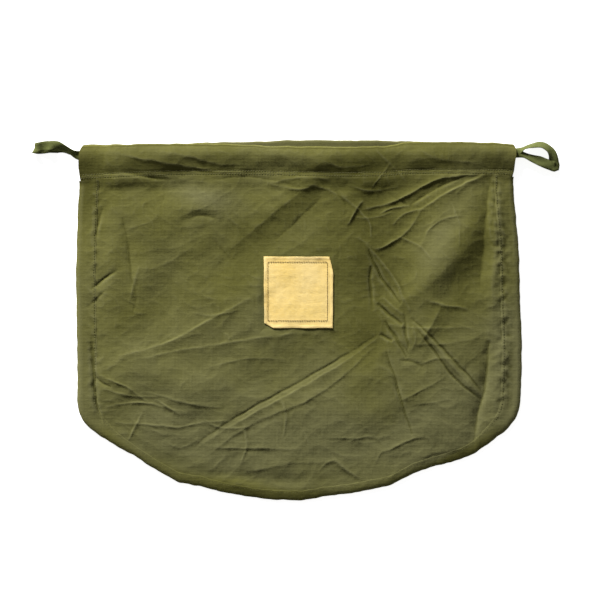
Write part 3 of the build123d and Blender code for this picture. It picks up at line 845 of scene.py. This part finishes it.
def stitch_meshes(places, directions, ups, length, width, rise):
    """Separate stitches: each a short rounded strand from hole to hole."""
    rings = [(-0.5, 0.35, -0.25), (-0.3, 0.9, 0.5), (0.0, 1.0, 0.75), (0.3, 0.9, 0.5), (0.5, 0.35, -0.25)]
    sides = 6
    points, faces = [], []
    for place, direction, up in zip(places, directions, ups):
        across = np.cross(up, direction)
        base = len(points)
        for along, girth, lift in rings:
            centre = place + direction * along * length + up * lift * rise
            for k in range(sides):
                angle = 2 * math.pi * k / sides
                offset = across * math.cos(angle) * width / 2 + up * math.sin(angle) * rise / 2
                points.append(centre + offset * girth)
        for ring in range(len(rings) - 1):
            for k in range(sides):
                a, b = base + ring * sides + k, base + ring * sides + (k + 1) % sides
                faces.append((a, b, b + sides, a + sides))
        faces.append(tuple(base + k for k in reversed(range(sides))))
        last = base + (len(rings) - 1) * sides
        faces.append(tuple(last + k for k in range(sides)))
    return np.array(points), faces


def stitch_line(name, line, height_of, pitch, material, width=0.6, length_share=0.72):
    """A row of stitches along a line of (x, y) points of the cut pattern, on the cloth under it."""
    line = np.array(line, float)
    runs = np.linalg.norm(np.diff(line, axis=0), axis=1)
    total = np.concatenate([[0], np.cumsum(runs)])
    at = np.arange(pitch / 2, total[-1], pitch)

    def on_cloth(distance):
        x, y = np.interp(distance, total, line[:, 0]), np.interp(distance, total, line[:, 1])
        return placed(x, y, height_of(x, y))

    before, after = on_cloth(at - pitch * 0.36), on_cloth(at + pitch * 0.36)
    directions = after - before
    directions /= np.linalg.norm(directions, axis=1, keepdims=True)
    across = np.cross([0, 0, 1.0], directions)
    ups = np.cross(directions, across)
    ups /= np.linalg.norm(ups, axis=1, keepdims=True)
    wobble = np.random.default_rng(len(at)).uniform(-0.12, 0.12, len(at))
    middle = (before + after) / 2 + ups * STITCH_LIFT + across * wobble[:, None]
    points, faces = stitch_meshes(middle, directions, ups, pitch * length_share, width, 0.45)
    return link_mesh(name, points, faces, [material])


def hem_surface(x, y):
    return hem_tunnel(x, y, front_height(x, y))[0]


def make_hem_stitches(material):
    for side, word in ((-1, "left"), (1, "right")):
        rows = []
        for row in HEM_ROWS:
            line = [(side * x, HEM_Y + row) for x in np.arange(0.0, HEM_HALF - 1, 2.0)]
            rows.append(stitch_line(f"front_hem_row_{word}_{row}", line, hem_surface, PITCH, material))
        piece = join_pieces(f"front_hem_stitches_{word}", rows)
        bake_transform(piece)
        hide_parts("front_casing_stitching")


def join_pieces(name, objects):
    """Several mesh objects as one piece."""
    points, faces, offset = [], [], 0
    material = objects[0].data.materials[0]
    for obj in objects:
        mesh = obj.data
        count = len(mesh.vertices)
        co = np.empty(count * 3)
        mesh.vertices.foreach_get("co", co)
        points.append(co.reshape(-1, 3) / MM)
        faces += [tuple(v + offset for v in p.vertices) for p in mesh.polygons]
        offset += count
        bpy.data.objects.remove(obj)
        bpy.data.meshes.remove(mesh)
    return link_mesh(name, np.vstack(points), faces, [material])


def back_hem_surface(x, y):
    z = CLOTH + 0.15 + 0.35 * (1 + noise(x, y, 40, 41))
    return z + 0.8


def make_seam_stitches(material):
    points, outward = outline_run(2.0)
    line = points - outward * (band_width(points[:, 1]) - ROW_INSET)[:, None]

    def on_band(x, y):
        return front_height(x, y) + 0.2 - 0.55 * along_bottom(y)

    left_end, right_start = seam_ends(points)
    parts = {
        "left_seam_stitches": (line[:left_end], "left_seam_stitching"),
        "bottom_seam_stitches": (line[left_end:right_start], "bottom_seam_stitching"),
        "right_seam_stitches": (line[right_start:], "right_seam_stitching"),
    }
    for name, (part, node) in parts.items():
        piece = stitch_line(name, part, on_band, PITCH, material)
        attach(piece, "root")
        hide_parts(node)

    rows = []
    for row in HEM_ROWS:
        line = [(x, HEM_Y + row) for x in np.arange(-HEM_HALF + 2, HEM_HALF - 1, 2.0)]
        rows.append(stitch_line(f"back_row_{row}", line, back_hem_surface, PITCH, material))
    piece = join_pieces("back_hem_stitches", rows)
    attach(piece, "root")
    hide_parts("back_casing_stitching")


# ---- label

LABEL_CLOTH = 0.55
LABEL_ROWS = (4.8, 7.2, 9.4, 6.8)  # the stitches, in from the left, right, lower and upper edges


def label_warp(u, v):
    """The label's slightly uneven cut, from its square pattern; u and v run from 0 to 1."""
    x = LABEL_LEFT + u * (LABEL_RIGHT - LABEL_LEFT)
    y = LABEL_BOTTOM + v * (LABEL_TOP - LABEL_BOTTOM)
    x = x + 0.5 * noise(y, 0 * y, 26, 51) * (2 * np.abs(u - 0.5)) ** 2 + 1.6 * (v - 0.5) * (u - 0.5)
    y = y + 0.5 * noise(x, 0 * x, 26, 52) * (2 * np.abs(v - 0.5)) ** 2
    # the top right corner is turned in and the bottom left one is cut off
    turned_in = 4.8 * np.clip((v - 0.76) / 0.24, 0, 1) * smooth_step(u, 0.5, 1.0)
    cut_off = 6.0 * np.clip((0.13 - u) / 0.13, 0, 1) * smooth_step(1 - v, 0.6, 1.0)
    return x - turned_in, y + cut_off


def label_height(x, y):
    """The label's face over the cloth that it is sewn to."""
    rim = np.maximum.reduce(
        [LABEL_LEFT - x + 7, x - LABEL_RIGHT + 7, LABEL_BOTTOM - y + 7, y - LABEL_TOP + 7]
    )
    curl = 0.5 * smooth_step(rim, 2.0, 7.0) * (1 + noise(x, y, 18, 53))
    own = 0.28 * noise(x, y, 24, 54) + 0.14 * noise(x, y, 9, 55)
    return front_height(x, y) + 0.95 + own + curl


def make_label(cloth, thread):
    steps = 61
    u, v = np.meshgrid(np.linspace(0, 1, steps), np.linspace(0, 1, steps))
    x, y = label_warp(u, v)
    z = label_height(x, y)
    rim = (u < 1e-6) | (u > 1 - 1e-6) | (v < 1e-6) | (v > 1 - 1e-6)
    z = z - 0.35 * rim
    points = placed(x, y, z)
    # The label's paleness is random fade, with no painted light or shade in it; its relief gives paler
    # crests and painted shade in its grooves.
    fade_and_painted_shading = 0.3 + 0.3 * noise(x, y, 30, 56)
    piece = shell("label_cloth", points, LABEL_CLOTH, cloth, tone=relief(z, 1.5), fade_and_painted_shading=fade_and_painted_shading)
    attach(piece, "front")
    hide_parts("label_patch")

    left, right = LABEL_LEFT + LABEL_ROWS[0], LABEL_RIGHT - LABEL_ROWS[1]
    low, high = LABEL_BOTTOM + LABEL_ROWS[2], LABEL_TOP - LABEL_ROWS[3]
    line = [(left, low), (right, low), (right, high), (left, high), (left, low)]
    stitches = stitch_line("label_stitches", line, label_height, 3.0, thread, width=0.55, length_share=0.8)
    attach(stitches, "front")
    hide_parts("label_stitching")


# ---- drawstring tape

TAPE_WIDTH = 12.7
TAPE_THICKNESS = 0.9
SMOOTHING = 3  # rings on each side that steady the tape's width direction

# The loops' routes from the back tunnel round to the front one, as in the CAD, in millimetres
LEFT_ROUTE = [
    (-226.0, 209.0, 2.1), (-250.0, 209.0, 2.1), (-268.0, 208.0, 2.3), (-279.0, 208.0, 3.0),
    (-288.0, 212.5, 2.6), (-297.0, 217.0, 2.2), (-310.0, 219.0, 1.8), (-324.0, 217.5, 2.0),
    (-332.0, 217.0, 2.2), (-335.5, 217.5, 4.0), (-331.0, 218.5, 6.6), (-318.0, 221.0, 6.8),
    (-305.0, 221.0, 6.8), (-294.0, 217.0, 6.9), (-286.0, 212.5, 6.8), (-278.0, 209.0, 7.0),
    (-268.0, 208.5, 7.2), (-250.0, 208.5, 7.4), (-226.0, 208.5, 7.4),
]
RIGHT_ROUTE = [
    (226.0, 209.5, 2.1), (250.0, 209.5, 2.1), (266.0, 210.5, 2.4), (276.0, 213.0, 3.6),
    (285.0, 217.5, 5.2), (296.0, 222.0, 5.6), (308.0, 223.0, 5.4), (317.5, 217.5, 5.0),
    (322.0, 209.0, 4.2), (323.5, 201.0, 2.6), (324.8, 195.5, 2.2), (325.4, 193.8, 3.4),
    (321.5, 195.5, 4.6), (314.0, 198.2, 4.8), (304.0, 202.0, 4.8), (292.0, 206.5, 5.4),
    (281.0, 211.0, 6.6), (268.0, 211.5, 7.2), (250.0, 210.5, 7.4), (226.0, 210.0, 7.4),
]

# How far the tape's width is turned up from lying flat: (share of the length, degrees)
LEFT_ROLL = [(0, 0), (0.22, 0), (0.28, 50), (0.35, 26), (0.41, -14), (0.46, 16), (0.5, 22), (0.54, -14)]
LEFT_ROLL += [(0.59, 16), (0.65, -28), (0.71, -48), (0.78, 0), (1, 0)]
RIGHT_ROLL = [(0, 0), (0.2, 0), (0.27, 62), (0.36, 50), (0.43, 40), (0.5, 6), (0.56, 2), (0.64, -12)]
RIGHT_ROLL += [(0.71, -26), (0.78, 0), (1, 0)]
# How much of its width the tape keeps where it is bunched: (share of the length, share of the width)
TAPE_PINCH = [(0, 1), (0.2, 1), (0.28, 0.6), (0.36, 1), (0.64, 1), (0.73, 0.6), (0.8, 1), (1, 1)]

LEFT_NODES = ("left_loop", "left_strand_back", "left_strand_front")
RIGHT_NODES = ("right_loop", "right_neck", "right_strand_back", "right_strand_front")


def spline_points(name, route, resolution=12):
    """Evenly spaced points along the smooth line that a route's points guide."""
    curve = bpy.data.curves.new(name, "CURVE")
    curve.dimensions = "3D"
    curve.resolution_u = resolution
    spline = curve.splines.new("NURBS")
    spline.points.add(len(route) - 1)
    for point, place in zip(spline.points, route):
        point.co = (*place, 1)
    spline.order_u = 3
    spline.use_endpoint_u = True
    holder = bpy.data.objects.new(name, curve)
    bpy.context.collection.objects.link(holder)
    mesh = bpy.data.meshes.new_from_object(holder)
    line = np.array([v.co for v in mesh.vertices], float)
    bpy.data.objects.remove(holder)
    bpy.data.curves.remove(curve)
    bpy.data.meshes.remove(mesh)
    return line


def tape(name, route, roll, material):
    """A flat tape along a route, with its width rolled up from lying flat."""
    line = spline_points(name + "_line", route)
    length = np.concatenate([[0], np.cumsum(np.linalg.norm(np.diff(line, axis=0), axis=1))])
    even = np.linspace(0, length[-1], int(length[-1] / 1.2))
    line = np.stack([np.interp(even, length, line[:, k]) for k in range(3)], 1)
    tangents = np.gradient(line, axis=0)
    tangents /= np.linalg.norm(tangents, axis=1, keepdims=True)
    shares = even / even[-1]
    angles = np.radians(np.interp(shares, *zip(*roll)))
    widths = TAPE_WIDTH * np.interp(shares, *zip(*TAPE_PINCH))
    flat_across = np.cross(tangents, [0, 0, 1.0])
    for i in range(1, len(flat_across)):
        if flat_across[i] @ flat_across[i - 1] < 0:
            flat_across[i] *= -1
    steady = np.pad(flat_across, ((SMOOTHING, SMOOTHING), (0, 0)), mode="edge")
    flat_across = sum(steady[k : k + len(line)] for k in range(2 * SMOOTHING + 1))
    flat_across -= np.sum(flat_across * tangents, axis=1, keepdims=True) * tangents
    flat_across /= np.linalg.norm(flat_across, axis=1, keepdims=True)
    up = np.cross(flat_across, tangents)
    cos, sin = np.cos(angles)[:, None], np.sin(angles)[:, None]
    across = flat_across * cos + up * sin
    normal = np.cross(across, tangents)
    profile = [(-0.5, 0), (-0.47, 0.5), (-0.25, 0.42), (0, 0.5), (0.25, 0.42), (0.47, 0.5)]
    profile += [(0.5, 0), (0.47, -0.5), (0.25, -0.42), (0, -0.5), (-0.25, -0.42), (-0.47, -0.5)]
    cup = 0.07 * np.sin(even / 7.0) + 0.05 * np.sin(even / 3.1)
    points, faces = [], []
    for place, a, n, width, bend in zip(line, across, normal, widths, cup):
        for s, t in profile:
            hollow = bend * width * (4 * s * s - 0.4)
            points.append(place + a * s * width + n * (t * TAPE_THICKNESS + hollow))
    sides = len(profile)
    for ring in range(len(line) - 1):
        for k in range(sides):
            a, b = ring * sides + k, ring * sides + (k + 1) % sides
            faces.append((a, b, b + sides, a + sides))
    faces.append(tuple(reversed(range(sides))))
    faces.append(tuple((len(line) - 1) * sides + k for k in range(sides)))
    points = np.array(points)
    points[:, 2] = np.maximum(points[:, 2], 0.25)
    piece = link_mesh(name, points, faces, [material])
    return piece, line, even[-1]


def make_tapes(material):
    loops = (
        ("left_loop_tape", "left_drawstring", LEFT_ROUTE, LEFT_ROLL, LEFT_NODES),
        ("right_loop_tape", "right_drawstring", RIGHT_ROUTE, RIGHT_ROLL, RIGHT_NODES),
    )
    for name, body, route, roll, nodes in loops:
        piece, line, length = tape(name, route, roll, material)
        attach(piece, body)
        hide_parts(*nodes)


# ---- materials

ROUGHNESS = 0.94


class Shader:
    """A small helper that adds and links nodes of one material."""

    def __init__(self, name):
        self.material = bpy.data.materials.new(name)
        self.material.use_nodes = True
        self.tree = self.material.node_tree
        self.shader = self.tree.nodes["Principled BSDF"]
        self.shader.inputs["Specular IOR Level"].default_value = 0.06
        self.shader.inputs["Roughness"].default_value = ROUGHNESS
        self.place = self.add("ShaderNodeTexCoord").outputs["Object"]

    def add(self, kind, **values):
        node = self.tree.nodes.new(kind)
        for key, value in values.items():
            setattr(node, key, value)
        return node

    def link(self, source, target):
        self.tree.links.new(source, target)

    def scaled(self, scale, turn=0.0):
        mapping = self.add("ShaderNodeMapping")
        mapping.inputs["Scale"].default_value = scale
        mapping.inputs["Rotation"].default_value = (0, 0, turn)
        self.link(self.place, mapping.inputs["Vector"])
        return mapping.outputs["Vector"]

    def noise(self, scale, stretch=(1, 1, 1), detail=2.0, turn=0.0):
        node = self.add("ShaderNodeTexNoise")
        node.inputs["Scale"].default_value = scale
        node.inputs["Detail"].default_value = detail
        node.inputs["Roughness"].default_value = 0.55
        self.link(self.scaled(stretch, turn), node.inputs["Vector"])
        return node.outputs["Fac"]

    def threads(self, pitch, direction):
        node = self.add("ShaderNodeTexWave", wave_type="BANDS", bands_direction=direction)
        node.inputs["Scale"].default_value = 1 / (pitch * MM) * 0.3183 / 2
        node.inputs["Distortion"].default_value = 1.2
        node.inputs["Detail"].default_value = 1.0
        node.inputs["Detail Scale"].default_value = 0.6
        self.link(self.place, node.inputs["Vector"])
        return node.outputs["Fac"]

    def maths(self, operation, first, second):
        node = self.add("ShaderNodeMath", operation=operation)
        for value, socket in ((first, node.inputs[0]), (second, node.inputs[1])):
            if isinstance(value, (int, float)):
                socket.default_value = value
            else:
                self.link(value, socket)
        return node.outputs[0]

    def mapped(self, value, low, high, to_low, to_high):
        node = self.add("ShaderNodeMapRange")
        node.inputs["From Min"].default_value = low
        node.inputs["From Max"].default_value = high
        node.inputs["To Min"].default_value = to_low
        node.inputs["To Max"].default_value = to_high
        self.link(value, node.inputs["Value"])
        return node.outputs["Result"]

    def mixed(self, factor, first, second):
        node = self.add("ShaderNodeMix", data_type="RGBA")
        for value, socket in ((factor, node.inputs[0]), (first, node.inputs[6]), (second, node.inputs[7])):
            if isinstance(value, (int, float)):
                socket.default_value = value
            elif isinstance(value, tuple):
                socket.default_value = (*value, 1)
            else:
                self.link(value, socket)
        return node.outputs[2]

    def attribute(self, name):
        return self.add("ShaderNodeAttribute", attribute_name=name).outputs["Fac"]

    def bump(self, height, strength, distance, under=None):
        node = self.add("ShaderNodeBump")
        node.inputs["Strength"].default_value = strength
        node.inputs["Distance"].default_value = distance
        self.link(height, node.inputs["Height"])
        if under is not None:
            self.link(under, node.inputs["Normal"])
        return node.outputs["Normal"]


def woven(name, colour, dark, light, pitch, slub, mottle=0.35, worn_and_lit=None):
    """Woven cotton: mottled dye, uneven threads both ways and a weave bump, with painted light and shade:
    paler patches of dye that has paled and of painted light, paler crests of wear and painted highlight,
    and painted shade where the attribute is below 0 and in the grooves.
    """
    s = Shader(name)
    patches = s.mapped(s.noise(9, detail=4), 0.35, 0.7, 0, 1)
    base = s.mixed(s.maths("MULTIPLY", patches, mottle), colour, dark)
    grain = s.mapped(s.noise(160, detail=3), 0.3, 0.75, 0, 1)
    base = s.mixed(s.maths("MULTIPLY", grain, 0.22), base, dark)
    across = s.mapped(s.noise(700, (0.3, 1, 1), detail=2), 0.38, 0.75, 0, 1)
    along = s.mixed(0.5, s.noise(700, (1, 0.3, 1), detail=2), s.noise(420, detail=2))
    along = s.mapped(along, 0.38, 0.75, 0, 1)
    base = s.mixed(s.maths("MULTIPLY", across, slub), base, light)
    base = s.mixed(s.maths("MULTIPLY", along, slub * 0.6), base, light)
    if worn_and_lit is not None:
        # Paler where the attribute is above 0: dye that has paled, partly painted light.
        fade_and_painted_shading = s.mapped(s.attribute("fade_and_painted_shading"), 0, 1, 0, 0.6)
        base = s.mixed(fade_and_painted_shading, base, worn_and_lit)
        # Darker where it is below 0: painted shade.
        painted_shade_mix = s.mapped(s.attribute("fade_and_painted_shading"), 0, -1, 0, 0.8)
        base = s.mixed(painted_shade_mix, base, tuple(c * 0.6 for c in dark))
        # Paler crests: partly wear, partly painted highlight.
        crest = s.mapped(s.attribute("tone"), 0.01, 0.12, 0, 0.28)
        base = s.mixed(crest, base, worn_and_lit)
        # Darker grooves: painted shade in the creases.
        groove = s.mapped(s.attribute("tone"), -0.01, -0.14, 0, 0.5)
        base = s.mixed(groove, base, tuple(c * 0.6 for c in dark))
    s.link(base, s.shader.inputs["Base Color"])
    warp, weft = s.threads(pitch, "X"), s.threads(pitch, "Y")
    weave = s.maths("ADD", warp, weft)
    slubs = s.maths("ADD", across, along)
    crumple = s.noise(130, detail=3)
    first = s.bump(weave, 0.35, 0.00018)
    second = s.bump(slubs, 0.3, 0.00018, first)
    third = s.bump(crumple, 0.22, 0.0005, second)
    s.link(third, s.shader.inputs["Normal"])
    rough = s.mapped(grain, 0, 1, ROUGHNESS - 0.08, ROUGHNESS + 0.05)
    s.link(rough, s.shader.inputs["Roughness"])
    return s.material


def make_materials():
    # The pale colours mark dye that has paled and crests of wear, and are partly painted light.
    return {
        "olive": woven(
            "olive_cotton", (0.116, 0.111, 0.028), (0.090, 0.086, 0.016), (0.150, 0.144, 0.058),
            pitch=0.9, slub=0.18, worn_and_lit=(0.162, 0.156, 0.074),
        ),
        "lining": woven(
            "olive_cotton_back", (0.106, 0.102, 0.034), (0.084, 0.080, 0.025), (0.142, 0.136, 0.060),
            pitch=0.9, slub=0.3, worn_and_lit=(0.155, 0.148, 0.070),
        ),
        "tape": woven(
            "olive_tape", (0.090, 0.100, 0.030), (0.055, 0.062, 0.014), (0.14, 0.152, 0.06),
            pitch=0.8, slub=0.3, mottle=0.6,
        ),
        "thread": woven(
            "olive_thread", (0.130, 0.124, 0.050), (0.09, 0.086, 0.03), (0.18, 0.172, 0.09),
            pitch=0.35, slub=0.4,
        ),
        "tan": woven(
            "tan_cotton", (0.85, 0.60, 0.17), (0.74, 0.49, 0.12), (0.93, 0.73, 0.32),
            pitch=0.8, slub=0.35, mottle=0.5, worn_and_lit=(0.95, 0.80, 0.46),
        ),
        "dark": woven(
            "dark_thread", (0.13, 0.075, 0.025), (0.08, 0.045, 0.014), (0.22, 0.14, 0.05),
            pitch=0.35, slub=0.4,
        ),
    }


# ---- the whole


materials = make_materials()
make_camera()
make_tapes(materials["tape"])
make_studio()
make_front(materials["olive"])
make_back(materials["lining"])
make_bands(materials["olive"])
make_hem_stitches(materials["thread"])
make_seam_stitches(materials["thread"])
make_label(materials["tan"], materials["dark"])
